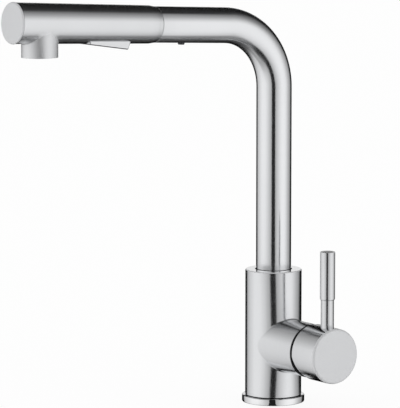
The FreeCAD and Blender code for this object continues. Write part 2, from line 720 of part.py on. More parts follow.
parts["head_core"] = placed(core, head_frame)
parts["toggle_pin"] = placed(bar(toggle_pin_od, *pin_line), head_frame)
valve_end = valve_start + valve_length
parts["check_valve"] = sleeve(valve_start, valve_end, inlet_bore - 2 * fitted, valve_bore, head_frame)

# Diverter spool: slides on the spout axis, with two rings and a neck for the toggle's finger
spool_end = spool_start + spool_length
neck_half = toggle_tip_od / 2 + easy
ring_places = [spool_start + spool_ring_inset, spool_end - spool_ring_inset - spool_ring_width]
spool = turned([
    (spool_start, 0), (spool_start, spool_od / 2), (toggle_pin_reach - neck_half, spool_od / 2),
    (toggle_pin_reach - neck_half, spool_neck_od / 2), (toggle_pin_reach + neck_half, spool_neck_od / 2),
    (toggle_pin_reach + neck_half, spool_od / 2), (spool_end, spool_od / 2), (spool_end, 0)])
ring_floor = spool_od - 2 * spool_ring_depth
seals = [sleeve(place, place + spool_ring_width, spool_od, ring_floor) for place in ring_places]
parts["diverter_spool"] = placed(spool.cut(seals), head_frame)
parts["diverter_seals"] = placed(Part.makeCompound(seals), head_frame)

# Toggle: wedge-shaped rocker under the head, with a lug on the pin and a finger that moves the spool
rocker = prism([(toggle_rear, toggle_top), (toggle_front, toggle_top), (toggle_front, toggle_front_low),
                (toggle_rear + toggle_rear_lean, toggle_rear_low)], toggle_width / 2)
rocker = round_edges(rocker, toggle_round, lambda p: p.y < toggle_top - 0.01 or (
    abs(p.x) > toggle_width / 2 - 0.01 and not toggle_rear + toggle_rear_lean < p.z < toggle_front - 0.01))
lug_half = toggle_lug_length / 2
finger_half = toggle_finger_thick / 2
tip_up = toggle_pin_up + toggle_arm
rocker = rocker.fuse([
    prism([(toggle_pin_reach - lug_half, toggle_top - 1), (toggle_pin_reach + lug_half, toggle_top - 1),
           (toggle_pin_reach + lug_half, toggle_pin_up), (toggle_pin_reach - lug_half, toggle_pin_up)],
          toggle_lug_width / 2),
    bar(toggle_lug_length, Vector(-toggle_lug_width / 2, toggle_pin_up, toggle_pin_reach),
        Vector(toggle_lug_width / 2, toggle_pin_up, toggle_pin_reach)),
    prism([(toggle_pin_reach - finger_half, toggle_pin_up), (toggle_pin_reach + finger_half, toggle_pin_up),
           (toggle_pin_reach + finger_half, tip_up), (toggle_pin_reach - finger_half, tip_up)],
          toggle_finger_width / 2),
    bar(toggle_tip_od, Vector(-toggle_finger_width / 2, tip_up, toggle_pin_reach),
        Vector(toggle_finger_width / 2, tip_up, toggle_pin_reach))])
rocker = rocker.removeSplitter().cut(bar(toggle_pin_od + 2 * running, *pin_line))
parts["toggle_rocker"] = placed(rocker, head_frame)

# Spray body: fills the outlet branch, with a manifold above that takes the link pipe
nozzle_frame = Placement(Vector(0, nozzle_axis.y, 0), Rotation())
spray_low = nozzle_bottom + spray_recess
spray_shoulder = spray_low + spray_body_height
manifold_top = nozzle_axis.z + manifold_rise
spray_radius = nozzle_bore / 2 - fitted
seal_low = spray_low + spray_seal_up
seal_floor = spray_radius - spray_seal_depth
aerator_top = spray_low + aerator_inset + aerator_height
plate_top = spray_low + spray_plate_height
aerator_hole = aerator_od / 2 + fitted
plate_inner, plate_outer = spray_plate_inner / 2 - fitted, spray_plate_outer / 2 + fitted
spray_body = turned([
    (spray_low, aerator_hole), (spray_low, plate_inner), (plate_top, plate_inner), (plate_top, plate_outer),
    (spray_low, plate_outer), (spray_low, spray_radius), (seal_low, spray_radius), (seal_low, seal_floor),
    (seal_low + spray_seal_height, seal_floor), (seal_low + spray_seal_height, spray_radius),
    (spray_shoulder, spray_radius), (spray_shoulder, manifold_od / 2), (manifold_top, manifold_od / 2),
    (manifold_top, 0), (aerator_top, 0), (aerator_top, aerator_hole)], nozzle_frame)
spray_body = spray_body.cut([
    placed(bar(link_pipe_od + 2 * fitted, on_axis[2], on_axis[3]), head_frame),
    placed(bar(link_pipe_bore, on_axis[3], Vector(0, 0, nozzle_reach)), head_frame),
    bar(link_pipe_bore, Vector(0, nozzle_axis.y, aerator_top), nozzle_axis)])
parts["spray_body"] = spray_body
seal_top = seal_low + spray_seal_height
parts["spray_seal"] = sleeve(seal_low, seal_top, 2 * spray_radius, 2 * seal_floor, nozzle_frame)

# Aerator: round insert with a field of small cells in its face
aerator_low = spray_low + aerator_inset
cells = []
for row in range(-2, 3):
    for column in range(-2, 3):
        if abs(row + column) <= 2:
            spot = Vector(aerator_cell_pitch * (column + row / 2),
                          nozzle_axis.y + aerator_cell_pitch * row * math.sin(math.radians(60)), aerator_low)
            cells.append(bar(aerator_cell, spot, spot + Vector(0, 0, aerator_cell_depth)))
parts["aerator"] = bar(aerator_od, Vector(0, nozzle_axis.y, aerator_low),
                       Vector(0, nozzle_axis.y, aerator_top)).cut(cells)

# Spray plate: soft ring with a circle of jets round the aerator
plate = sleeve(spray_low, plate_top, spray_plate_outer, spray_plate_inner, nozzle_frame)
jet_circle = (spray_plate_outer + spray_plate_inner) / 4
jets, jet_holes = [], []
for index in range(jet_count):
    angle = 2 * math.pi * index / jet_count
    spot = Vector(jet_circle * math.cos(angle), nozzle_axis.y + jet_circle * math.sin(angle), spray_low)
    tip = spot - Vector(0, 0, jet_height)
    jets.append(bar(jet_od, tip, spot + Vector(0, 0, 1)))
    jet_holes.append(bar(jet_bore, tip, spot + Vector(0, 0, spray_plate_height / 2)))
parts["spray_plate"] = plate.fuse(jets).cut(jet_holes)

os.makedirs("parts", exist_ok=True)
for node, shape in parts.items():
    shape.exportStep(os.path.join("parts", node + ".step"))
    sound = bool(shape.Solids) and all(solid.isValid() for solid in shape.Solids)
    print(node, len(shape.Solids), "solids", round(shape.Volume), "mm3", "valid" if sound else "NOT VALID")
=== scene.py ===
import math

import bpy
from mathutils import Matrix, Vector


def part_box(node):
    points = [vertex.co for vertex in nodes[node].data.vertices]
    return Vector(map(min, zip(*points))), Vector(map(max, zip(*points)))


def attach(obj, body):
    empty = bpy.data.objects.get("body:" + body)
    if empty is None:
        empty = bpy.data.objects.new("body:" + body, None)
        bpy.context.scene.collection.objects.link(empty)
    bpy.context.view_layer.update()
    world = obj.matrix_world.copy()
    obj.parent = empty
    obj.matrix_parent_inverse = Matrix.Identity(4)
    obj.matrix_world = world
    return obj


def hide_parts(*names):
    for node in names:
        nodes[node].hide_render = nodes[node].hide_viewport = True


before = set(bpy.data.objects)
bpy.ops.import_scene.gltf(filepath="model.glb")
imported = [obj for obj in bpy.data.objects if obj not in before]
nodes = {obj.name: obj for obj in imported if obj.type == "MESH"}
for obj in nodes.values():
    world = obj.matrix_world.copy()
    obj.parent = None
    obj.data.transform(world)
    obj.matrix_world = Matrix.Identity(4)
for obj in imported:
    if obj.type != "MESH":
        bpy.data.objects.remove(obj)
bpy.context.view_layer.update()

# Base ring: the bright trim that the body stands on.
# It is turned from brass and plated with polished chrome, grooved below for the gasket,
# and clamped between the body and the deck by the shank.
ring_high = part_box("base_ring")[1]
ring_radius, ring_top = ring_high.x, ring_high.z
ring_bore = 0.0172
ring_groove = (0.0189, 0.0231)
ring_groove_depth = 0.0015
ring_round = 0.0006
merge_distance = 1e-6


def turned(name, outline, steps=160):
    """A piece spun round the upright axis from a closed outline of (radius, height) points."""
    bpy.ops.object.select_all(action="DESELECT")
    bpy.ops.mesh.primitive_plane_add(size=0.001)
    piece = bpy.context.object
    piece.name = name
    bpy.ops.object.mode_set(mode="EDIT")
    bpy.ops.mesh.select_all(action="SELECT")
    bpy.ops.mesh.merge(type="CENTER")
    spot = Vector((0, 0, 0))
    for index, (radius, height) in enumerate(outline + outline[:1]):
        step = Vector((radius, 0, height)) - spot
        if index == 0:
            bpy.ops.transform.translate(value=step)
        else:
            bpy.ops.mesh.extrude_vertices_move(TRANSFORM_OT_translate={"value": step})
        spot += step
    bpy.ops.mesh.select_all(action="SELECT")
    bpy.ops.mesh.remove_doubles(threshold=merge_distance)
    bpy.ops.mesh.spin(steps=steps, angle=2 * math.pi, center=(0, 0, 0), axis=(0, 0, 1))
    bpy.ops.mesh.select_all(action="SELECT")
    bpy.ops.mesh.remove_doubles(threshold=merge_distance)
    bpy.ops.mesh.normals_make_consistent(inside=False)
    bpy.ops.object.mode_set(mode="OBJECT")
    return piece


def picked(piece):
    """Makes a piece the only selected and the active one."""
    bpy.ops.object.select_all(action="DESELECT")
    bpy.context.view_layer.objects.active = piece
    piece.select_set(True)


def rounded(piece, radius, segments=3, sharpness=30):
    """The piece with its sharp edges bevelled round, and smooth shading between them."""
    picked(piece)
    bevel = piece.modifiers.new("edges", "BEVEL")
    bevel.width = radius
    bevel.segments = segments
    bevel.limit_method = "ANGLE"
    bevel.angle_limit = math.radians(sharpness)
    bevel.harden_normals = False
    bpy.ops.object.modifier_apply(modifier=bevel.name)
    bpy.ops.object.shade_smooth_by_angle(angle=math.radians(sharpness))
    return piece


def put(tree, kind, settings=(), **sockets):
    """Adds a shader node with its settings; a socket gets a value or another node's output."""
    made = tree.nodes.new("ShaderNode" + kind)
    for key, value in dict(settings).items():
        setattr(made, key, value)
    for key, value in sockets.items():
        place = int(key[1:]) if key[0] == "i" and key[1:].isdigit() else key.replace("_", " ")
        if isinstance(value, bpy.types.NodeSocket):
            tree.links.new(value, made.inputs[place])
        else:
            made.inputs[place].default_value = value
    return made


def finish(name):
    """A new material, its node tree and its shader."""
    material = bpy.data.materials.new(name)
    material.use_nodes = True
    tree = material.node_tree
    return material, tree, tree.nodes["Principled BSDF"]


def surface_group(name, values):
    """A node group from a vector, a colour and values to a colour, a roughness and a height."""
    group = bpy.data.node_groups.new(name, "ShaderNodeTree")
    sockets = group.interface
    sockets.new_socket("Vector", in_out="INPUT", socket_type="NodeSocketVector")
    sockets.new_socket("Colour", in_out="INPUT", socket_type="NodeSocketColor")
    for label in values:
        sockets.new_socket(label, in_out="INPUT", socket_type="NodeSocketFloat")
    sockets.new_socket("Colour", in_out="OUTPUT", socket_type="NodeSocketColor")
    sockets.new_socket("Roughness", in_out="OUTPUT", socket_type="NodeSocketFloat")
    sockets.new_socket("Height", in_out="OUTPUT", socket_type="NodeSocketFloat")
    given = group.nodes.new("NodeGroupInput").outputs
    result = group.nodes.new("NodeGroupOutput").inputs
    return group, given, result


def cloud_group():
    """Soft patches and fine specks: colour, roughness and height."""
    group, given, result = surface_group(
        "surface_cloud", ("Patch Scale", "Speck Scale", "Tone Spread", "Roughness", "Roughness Spread"))
    where = given["Vector"]
    patch = put(group, "TexNoise", Vector=where, Scale=given["Patch Scale"], Detail=4.0).outputs["Fac"]
    speck = put(group, "TexNoise", Vector=where, Scale=given["Speck Scale"], Detail=2.0).outputs["Fac"]
    both = put(group, "Math", {"operation": "ADD"}, i0=patch, i1=speck).outputs[0]
    swing = put(group, "Math", {"operation": "SUBTRACT"}, i0=both, i1=1.0).outputs[0]
    tone = put(group, "Math", {"operation": "MULTIPLY_ADD"}, i0=swing, i1=given["Tone Spread"],
               i2=1.0).outputs[0]
    colour = put(group, "VectorMath", {"operation": "SCALE"}, i0=given["Colour"], Scale=tone).outputs[0]
    rough = put(group, "Math", {"operation": "MULTIPLY_ADD"}, i0=swing, i1=given["Roughness Spread"],
                i2=given["Roughness"]).outputs[0]
    group.links.new(colour, result["Colour"])
    group.links.new(rough, result["Roughness"])
    group.links.new(speck, result["Height"])
    return group


surface_cloud = cloud_group()


def coated(tree, shader, surface, relief):
    """Links a group's colour and roughness and a bump to the shader."""
    tree.links.new(surface.outputs["Colour"], shader.inputs["Base Color"])
    tree.links.new(surface.outputs["Roughness"], shader.inputs["Roughness"])
    tree.links.new(relief.outputs["Normal"], shader.inputs["Normal"])


def clouded(name, colour, roughness, metallic=0.0, patch=60.0, speck=900.0, tone=0.12, spread=0.1,
            bump=0.05, depth=0.0001):
    """A material with the cloud group's colour, roughness and fine bump on Object coordinates."""
    material, tree, shader = finish(name)
    where = put(tree, "TexCoord").outputs["Object"]
    cloud = put(tree, "Group", {"node_tree": surface_cloud}, Vector=where, Colour=(*colour, 1.0),
                Patch_Scale=patch, Speck_Scale=speck, Tone_Spread=tone, Roughness=roughness,
                Roughness_Spread=spread)
    relief = put(tree, "Bump", Strength=bump, Distance=depth, Height=cloud.outputs["Height"])
    coated(tree, shader, cloud, relief)
    shader.inputs["Metallic"].default_value = metallic
    return material


polished_chrome = clouded("polished_chrome", (0.88, 0.885, 0.895), 0.07, metallic=1.0, patch=25.0,
                          speck=600.0, tone=0.03, spread=0.05, bump=0.01)
base_ring = turned("base_ring_polished", [
    (ring_bore, 0), (ring_groove[0], 0), (ring_groove[0], ring_groove_depth),
    (ring_groove[1], ring_groove_depth), (ring_groove[1], 0), (ring_radius, 0),
    (ring_radius, ring_top), (ring_bore, ring_top)])
rounded(base_ring, ring_round)
base_ring.data.materials.append(polished_chrome)
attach(base_ring, "base")
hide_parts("base_ring")


# Rubber: the gasket under the base ring, the seals of the cartridge, the diverter and the
# nozzle, and the hose washer. All are moulded black rubber, matte and a little dusty,
# and each sits in its groove.
def dressed(names, material):
    """Gives CAD nodes whose shape is right a better finish."""
    for name in names:
        nodes[name].material_slots[0].material = material


black_rubber = clouded("black_rubber", (0.028, 0.028, 0.029), 0.62, patch=140.0, speck=2600.0, tone=0.5,
                       spread=0.25, bump=0.25)
dressed(["base_gasket", "port_seals", "disc_seals", "spray_seal", "diverter_seals", "hose_washer"],
        black_rubber)


# Brass: the threaded shank, the spout foot, the hose-tail sockets, the ring nut, the stem
# and the hose nut. They are turned from bar and left plain, so fine rings of tool marks
# run round the upright shank.
def tool_marks(name, colour, pitch, roughness, bump=0.2, depth=0.0001):
    """Turned metal: rings of tool marks along Z over soft stains."""
    material, tree, shader = finish(name)
    where = put(tree, "TexCoord").outputs["Object"]
    cloud = put(tree, "Group", {"node_tree": surface_cloud}, Vector=where, Colour=(*colour, 1.0),
                Patch_Scale=45.0, Speck_Scale=500.0, Tone_Spread=0.25, Roughness=roughness,
                Roughness_Spread=0.2)
    rings = put(tree, "TexWave", {"bands_direction": "Z"}, Vector=where, Scale=1 / pitch, Distortion=0.4)
    relief = put(tree, "Bump", Strength=bump, Distance=depth, Height=rings.outputs["Fac"])
    coated(tree, shader, cloud, relief)
    shader.inputs["Metallic"].default_value = 1.0
    return material


plain_brass = tool_marks("plain_brass", (0.72, 0.53, 0.25), pitch=0.004, roughness=0.3)
dressed(["mounting_shank", "spout_foot", "hose_tail_sockets", "cartridge_nut", "cartridge_stem",
         "hose_nut"], plain_brass)

# Body: the upright tube with the side neck for the cartridge, both of stainless steel,
# welded, blended and brushed, each round its own axis along a UV map with U round the axis.
# The top is polished with a satin edge. The neck's end, the foot's edge and the hole are painted black as
# shade, where they lie in gaps.
body_radius = 0.0225
body_edge = 0.0007
spout_hole, spout_hole_low = 0.0149, 0.1
neck_height, neck_radius, neck_start = 0.0476, 0.0212, 0.004
weld_margin = 0.0003
smooth_angle = math.radians(25)
end_slack = 0.00005
neck_frame = Matrix.Translation((0, 0, neck_height)) @ Matrix.Rotation(math.radians(90), 4, "Y")
upright = Matrix.Identity(4)
upside_down = Matrix.Rotation(math.radians(180), 4, "X")
steel_colour = (0.80, 0.808, 0.823)


def grain_group():
    """Brush marks on a UV map in metres: hairlines along U, broad streaks and soft patches."""
    group, given, result = surface_group(
        "brushed_grain", ("Tone Spread", "Roughness", "Roughness Spread"))

    def streaks(along, across, detail):
        """Noise drawn out along U."""
        stretched = put(group, "Mapping", Vector=given["Vector"], Scale=(along, across, 1.0))
        noise = put(group, "TexNoise", Vector=stretched.outputs[0], Scale=1.0, Detail=detail)
        return noise.outputs["Fac"]

    hairline = streaks(along=55.0, across=4200.0, detail=3.0)
    streak = streaks(along=14.0, across=520.0, detail=2.0)
    patch = streaks(along=28.0, across=32.0, detail=3.0)
    lines = put(group, "Math", {"operation": "ADD"}, i0=hairline, i1=streak).outputs[0]
    swing = put(group, "Math", {"operation": "SUBTRACT"}, i0=lines, i1=1.0).outputs[0]
    tone = put(group, "Math", {"operation": "MULTIPLY_ADD"}, i0=swing, i1=given["Tone Spread"],
               i2=1.0).outputs[0]
    colour = put(group, "VectorMath", {"operation": "SCALE"}, i0=given["Colour"], Scale=tone).outputs[0]
    uneven = put(group, "Math", {"operation": "ADD"}, i0=patch, i1=streak).outputs[0]
    sway = put(group, "Math", {"operation": "SUBTRACT"}, i0=uneven, i1=1.0).outputs[0]
    rough = put(group, "Math", {"operation": "MULTIPLY_ADD"}, i0=sway, i1=given["Roughness Spread"],
                i2=given["Roughness"]).outputs[0]
    group.links.new(colour, result["Colour"])
    group.links.new(rough, result["Roughness"])
    group.links.new(hairline, result["Height"])
    return group


brushed_grain = grain_group()


def brushed_steel(name, roughness, colour=steel_colour, drawn_out=0.9, tone=0.05, spread=0.06,
                  bump=0.02, depth=0.00005, fade=(0.2, 0.8), quarter_turn=0.25):
    """Steel brushed along U, whose reflections are drawn out across the brush marks.

    The bump fades where the surface is seen edge-on, between the two values of fade.
    """
    material, tree, shader = finish(name)
    where = put(tree, "UVMap", {"uv_map": "around"}).outputs["UV"]
    grain = put(tree, "Group", {"node_tree": brushed_grain}, Vector=where, Colour=(*colour, 1.0),
                Tone_Spread=tone, Roughness=roughness, Roughness_Spread=spread)
    edge_on = put(tree, "LayerWeight", Blend=0.5).outputs["Facing"]
    strength = put(tree, "MapRange", Value=edge_on, From_Min=fade[0], From_Max=fade[1], To_Min=bump,
                   To_Max=0.0)
    relief = put(tree, "Bump", Strength=strength.outputs[0], Distance=depth,
                 Height=grain.outputs["Height"])
    tangent = put(tree, "Tangent", {"direction_type": "UV_MAP", "uv_map": "around"})
    coated(tree, shader, grain, relief)
    tree.links.new(tangent.outputs["Tangent"], shader.inputs["Tangent"])
    shader.inputs["Metallic"].default_value = 1.0
    shader.inputs["Anisotropic"].default_value = drawn_out
    shader.inputs["Anisotropic Rotation"].default_value = quarter_turn
    return material


def satin_steel(name, roughness, colour=steel_colour, metallic=1.0):
    """Steel blasted to an even satin; less metallic is more scattered."""
    return clouded(name, colour, roughness, metallic=metallic, patch=35.0, speck=1600.0, tone=0.05,
                   spread=0.06, bump=0.05)


def copied(node, name):
    """A piece from a copy of a CAD node's mesh, with its triangles merged and smoothed."""
    piece = bpy.data.objects.new(name, nodes[node].data.copy())
    bpy.context.scene.collection.objects.link(piece)
    picked(piece)
    bpy.ops.object.mode_set(mode="EDIT")
    bpy.ops.mesh.select_all(action="SELECT")
    bpy.ops.mesh.remove_doubles(threshold=merge_distance)
    bpy.ops.mesh.customdata_custom_splitnormals_clear()
    bpy.ops.object.mode_set(mode="OBJECT")
    bpy.ops.object.shade_smooth_by_angle(angle=smooth_angle)
    piece.data.materials.clear()
    return piece


def wrapped(piece, regions):
    """Gives the piece a UV map in metres: U runs round an axis, V along it and in towards it.

    Each region is (test, place, radius): the first test that a face's middle passes
    gives the place whose Z is the axis, and the radius at which U is measured.
    """
    layer = piece.data.uv_layers.new(name="around")
    corners = piece.data.vertices
    loops = piece.data.loops
    for face in piece.data.polygons:
        place, radius = next((place, size) for test, place, size in regions if test(face.center))
        to_local = place.inverted()
        middle = to_local @ face.center
        facing = math.atan2(middle.y, middle.x)
        for corner in face.loop_indices:
            spot = to_local @ corners[loops[corner].vertex_index].co
            off_axis = math.hypot(spot.x, spot.y)
            turn = math.atan2(spot.y, spot.x) - facing if off_axis > merge_distance else 0
            turn = (turn + math.pi) % (2 * math.pi) - math.pi
            layer.data[corner].uv = ((facing + turn) * radius, spot.z - off_axis)
    return piece


def everywhere(spot):
    """The region test that every face passes."""
    return True


def on_neck(spot):
    """Whether a point of the body lies on the neck or in its hollow."""
    return spot.x > neck_start and math.hypot(spot.x, spot.y) > body_radius + weld_margin


def faced(piece, place, material, depth=0.0):
    """Gives the end of a piece, its last stretch along a place's Z axis, a material of its own."""
    piece.data.materials.append(material)
    to_axis = place.inverted()
    heights = [(to_axis @ corner.co).z for corner in piece.data.vertices]
    lowest = max(heights) - depth - end_slack
    for face in piece.data.polygons:
        if all(heights[corner] > lowest for corner in face.vertices):
            face.material_index = len(piece.data.materials) - 1


body = copied("body_shell", "body_brushed")
wrapped(body, [(on_neck, neck_frame, neck_radius), (everywhere, upright, body_radius)])
body.data.materials.append(brushed_steel("body_steel", 0.25))
body.data.materials.append(brushed_steel("neck_steel", 0.13))
for face in body.data.polygons:
    face.material_index = 1 if on_neck(face.center) else 0
polished_steel = clouded("polished_steel", (0.95, 0.955, 0.96), 0.06, metallic=1.0, patch=35.0,
                         speck=900.0, tone=0.04, spread=0.04, bump=0.01)
end_face_steel = satin_steel("end_face_steel", 0.55, colour=(0.73, 0.737, 0.75), metallic=0.45)
faced(body, upright, end_face_steel, body_edge)
faced(body, upright, polished_steel)
# Painted shade: black steel on the neck's end in the cap's gap, on the foot's edge against the ring and
# in the spout's hole. The dock screw below is blackened steel of its own.
blackened_steel_and_painted_shade = clouded("blackened_steel_and_painted_shade", (0.09, 0.09, 0.095), 0.35, metallic=1.0, patch=90.0,
                          speck=1400.0, tone=0.2, spread=0.2, bump=0.06)
faced(body, neck_frame, blackened_steel_and_painted_shade, body_edge)
faced(body, upside_down, blackened_steel_and_painted_shade, body_edge)
for face in body.data.polygons:
    if math.hypot(face.center.x, face.center.y) < spout_hole and face.center.z > spout_hole_low:
        face.material_index = len(body.data.materials) - 1
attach(body, "base")
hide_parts("body_shell")

# Moulded plastic: the waterway, the bushes, the cartridge's case and turret, the dock, the
# core of the spray head and its inserts. They are injection moulded, white, grey or black,
# with a faint spark texture, and are pressed or screwed into place.
white_acetal = clouded("white_acetal", (0.80, 0.80, 0.78), 0.38, patch=50.0, speck=1800.0, tone=0.06,
                       spread=0.12, bump=0.12)
grey_plastic = clouded("grey_plastic", (0.26, 0.27, 0.28), 0.42, patch=50.0, speck=1800.0, tone=0.12,
                       spread=0.12, bump=0.15)
black_plastic = clouded("black_plastic", (0.030, 0.030, 0.032), 0.40, patch=60.0, speck=1800.0, tone=0.3,
                        spread=0.15, bump=0.15)
grey_silicone = clouded("grey_silicone", (0.30, 0.31, 0.32), 0.55, patch=90.0, speck=1500.0, tone=0.12,
                        spread=0.15, bump=0.1)
dressed(["lower_bush", "cartridge_base", "check_valve", "aerator", "diverter_spool",
         "cartridge_turret"], white_acetal)
dressed(["water_block", "cartridge_case", "head_core", "spray_body", "disc_carrier"], grey_plastic)
dressed(["dock_sleeve", "dock_plug", "upper_bush"], black_plastic)
dressed(["spray_plate"], grey_silicone)

# Ceramic discs: the two lapped plates in the cartridge that open and mix the water.
# They are pressed alumina, off-white, with faces lapped to a soft gloss.
lapped_ceramic = clouded("lapped_ceramic", (0.86, 0.86, 0.83), 0.16, patch=80.0, speck=3000.0, tone=0.05,
                         spread=0.08, bump=0.03)
dressed(["fixed_disc", "moving_disc"], lapped_ceramic)

# Steel hardware: screws, pins, the circlip and the crimped ferrule of the hose.
# They are plain stainless steel, a little darker than the brushed shells.
hardware_steel = clouded("hardware_steel", (0.46, 0.46, 0.47), 0.32, metallic=1.0, patch=90.0,
                         speck=1400.0, tone=0.2, spread=0.2, bump=0.06)
dressed(["dock_screw"], blackened_steel_and_painted_shade)
dressed(["bush_circlip", "spout_lock_screw", "hose_ferrule", "toggle_pin", "pivot_pin",
         "handle_set_screw"], hardware_steel)

# Handle cap: the round cup on the end of the neck that the lever is screwed into.
# It is turned from stainless steel bar and brushed round its rim. The flat end is
# satin, without a grain, and a set screw below fixes the cap on the stem.
cap_radius, cap_edge = 0.0218, 0.002
handle_cap = copied("handle_cap", "handle_cap_brushed")
wrapped(handle_cap, [(everywhere, neck_frame, cap_radius)])
handle_cap.data.materials.append(brushed_steel("handle_cap_steel", 0.14))
faced(handle_cap, neck_frame, end_face_steel, cap_edge)
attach(handle_cap, "handle")
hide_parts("handle_cap")

# Lever: one steel bar with a thicker grip, turned and brushed round its length.
# The grip's lower end is rounded off to the rod, its flat top is polished, and the stud
# below is screwed into the cap.
lever_low, lever_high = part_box("lever")
lever_axis = (lever_low.x + lever_high.x) / 2
lever_rod, lever_grip = 0.00515, lever_high.x - lever_axis
lever_seat = 0.0658
lever_stud = 0.003
lever_step, lever_step_rise = 0.0911, 0.0015
lever_edge = 0.0004
step_points = 6
step_turns = [math.radians(90 * point / step_points) for point in range(step_points + 1)]
grip_end = [(lever_rod + (lever_grip - lever_rod) * math.sin(turn),
             lever_step + lever_step_rise * (1 - math.cos(turn))) for turn in step_turns]


def settled(piece, place):
    """Moves a piece that was made upright at the origin to its place, in its mesh."""
    picked(piece)
    piece.matrix_world = place
    bpy.ops.object.transform_apply(location=True, rotation=True, scale=True)
    return piece


lever = turned("lever_brushed", [
    (0, lever_low.z), (lever_stud, lever_low.z), (lever_stud, lever_seat), (lever_rod, lever_seat)]
    + grip_end + [(lever_grip, lever_high.z), (0, lever_high.z)], steps=96)
rounded(lever, lever_edge, sharpness=60)
wrapped(lever, [(everywhere, upright, lever_grip)])
settled(lever, Matrix.Translation((lever_axis, 0, 0)))
lever.data.materials.append(brushed_steel("lever_steel", 0.21, colour=(0.75, 0.757, 0.77)))
faced(lever, upright, end_face_steel, lever_edge)
faced(lever, upright, polished_steel)
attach(lever, "handle")
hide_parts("lever")

# Spout: one thin stainless steel tube, bent on a mandrel and brushed round its length.
# It is brazed to the foot that turns in the body's bushes.
tube_radius, tube_wall, tube_edge = 0.014, 0.0012, 0.0002
tube_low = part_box("spout_tube")[0].z
spout_height = 0.3013
spout_rise = math.radians(3)
tube_reach = 0.1154
bend_radius = 0.051
bend_turn = math.radians(90) - spout_rise
bend_end = bend_radius * (math.cos(bend_turn) - 1)
bend_low = spout_height - bend_end * math.tan(spout_rise) - bend_radius * math.sin(bend_turn)
straight_length = tube_reach + bend_end / math.cos(spout_rise)
spout_axis = Vector((0, -math.cos(spout_rise), math.sin(spout_rise)))
tube_sides, bend_steps = 128, 60

bpy.ops.object.select_all(action="DESELECT")
bpy.ops.mesh.primitive_circle_add(vertices=tube_sides, radius=tube_radius, location=(0, 0, tube_low))
spout = bpy.context.object
spout.name = "spout_brushed"
bpy.ops.object.transform_apply(location=True)
bpy.ops.object.mode_set(mode="EDIT")
bpy.ops.mesh.select_all(action="SELECT")
bpy.ops.mesh.extrude_region_move(TRANSFORM_OT_translate={"value": (0, 0, bend_low - tube_low)})
bpy.ops.mesh.spin(steps=bend_steps, angle=bend_turn, center=(0, -bend_radius, bend_low), axis=(-1, 0, 0))
bpy.ops.mesh.extrude_region_move(TRANSFORM_OT_translate={"value": spout_axis * straight_length})
bpy.ops.mesh.select_all(action="SELECT")
bpy.ops.mesh.remove_doubles(threshold=merge_distance)
bpy.ops.mesh.normals_make_consistent(inside=False)
bpy.ops.object.mode_set(mode="OBJECT")
wall = spout.modifiers.new("wall", "SOLIDIFY")
wall.thickness = tube_wall
wall.offset = -1
bpy.ops.object.modifier_apply(modifier=wall.name)
rounded(spout, tube_edge, segments=2, sharpness=50)


def along_spout(spot):
    """Where a point of the tube lies: the distance along its middle line and the turn round it."""
    from_centre = Vector((spot.y + bend_radius, spot.z - bend_low))
    angle = math.atan2(from_centre.y, from_centre.x)
    if from_centre.y < 0:
        return spot.z, math.atan2(spot.x, spot.y)
    if angle < bend_turn:
        return bend_low + bend_radius * angle, math.atan2(spot.x, from_centre.length - bend_radius)
    from_axis = spot - Vector((0, 0, spout_height))
    onward = from_axis.dot(spout_axis)
    up = from_axis.dot(Vector((0, math.sin(spout_rise), math.cos(spout_rise))))
    bend_length = bend_radius * bend_turn
    return bend_low + bend_length + onward - (tube_reach - straight_length), math.atan2(spot.x, up)


spout_uv = spout.data.uv_layers.new(name="around")
for face in spout.data.polygons:
    facing = along_spout(face.center)[1]
    for corner in face.loop_indices:
        onward, turn = along_spout(spout.data.vertices[spout.data.loops[corner].vertex_index].co)
        turn = (turn - facing + math.pi) % (2 * math.pi) - math.pi
        spout_uv.data[corner].uv = ((facing + turn) * tube_radius, onward)
spout.data.materials.append(brushed_steel("spout_steel", 0.21, colour=(0.845, 0.853, 0.868)))
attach(spout, "spout")
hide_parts("spout_tube")

# Hose: a rubber core under a braid of grey nylon, crimped in its ferrule.
# The bent stretch lies in the spout. The straight one comes out with the head, so its
# strands are modelled: one is wound to a helix and copied round, once for each hand.
hose_rubber = clouded("hose_rubber", (0.10, 0.102, 0.105), 0.6, patch=300.0, speck=1500.0, tone=0.4,
                      spread=0.2, bump=0.3)
hose_nylon = clouded("hose_nylon", (0.33, 0.335, 0.345), 0.5, patch=400.0, speck=3000.0, tone=0.35,
                     spread=0.2, bump=0.3)
dressed(["hose_in_spout"], hose_nylon)
hose_low, hose_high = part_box("pull_hose")
hose_radius = hose_high.x
hose_middle = (hose_low + hose_high) / 2
hose_length = (hose_high.y - hose_low.y - 2 * hose_radius * math.sin(spout_rise)) / math.cos(spout_rise)
strand_radius = 0.00042
strand_count, strand_sides, hand_offset = 12, 6, 0.25
braid_pitch, braid_depth = 0.028, 1.8 * strand_radius
winding_turns, winding_steps = hose_length / braid_pitch, 48
core_sides, core_edge = 48, 0.0004
along_head = Matrix.Rotation(math.radians(90) - spout_rise, 4, "X")
hose_frame = Matrix.Translation(hose_middle) @ along_head

bpy.ops.object.select_all(action="DESELECT")
bpy.ops.mesh.primitive_cylinder_add(vertices=core_sides, radius=hose_radius - braid_depth,
                                    depth=hose_length)
hose_core = bpy.context.object
hose_core.name = "pull_hose_core"
rounded(hose_core, core_edge)
settled(hose_core, hose_frame)
hose_core.data.materials.append(hose_rubber)
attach(hose_core, "spray_head")
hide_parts("pull_hose")

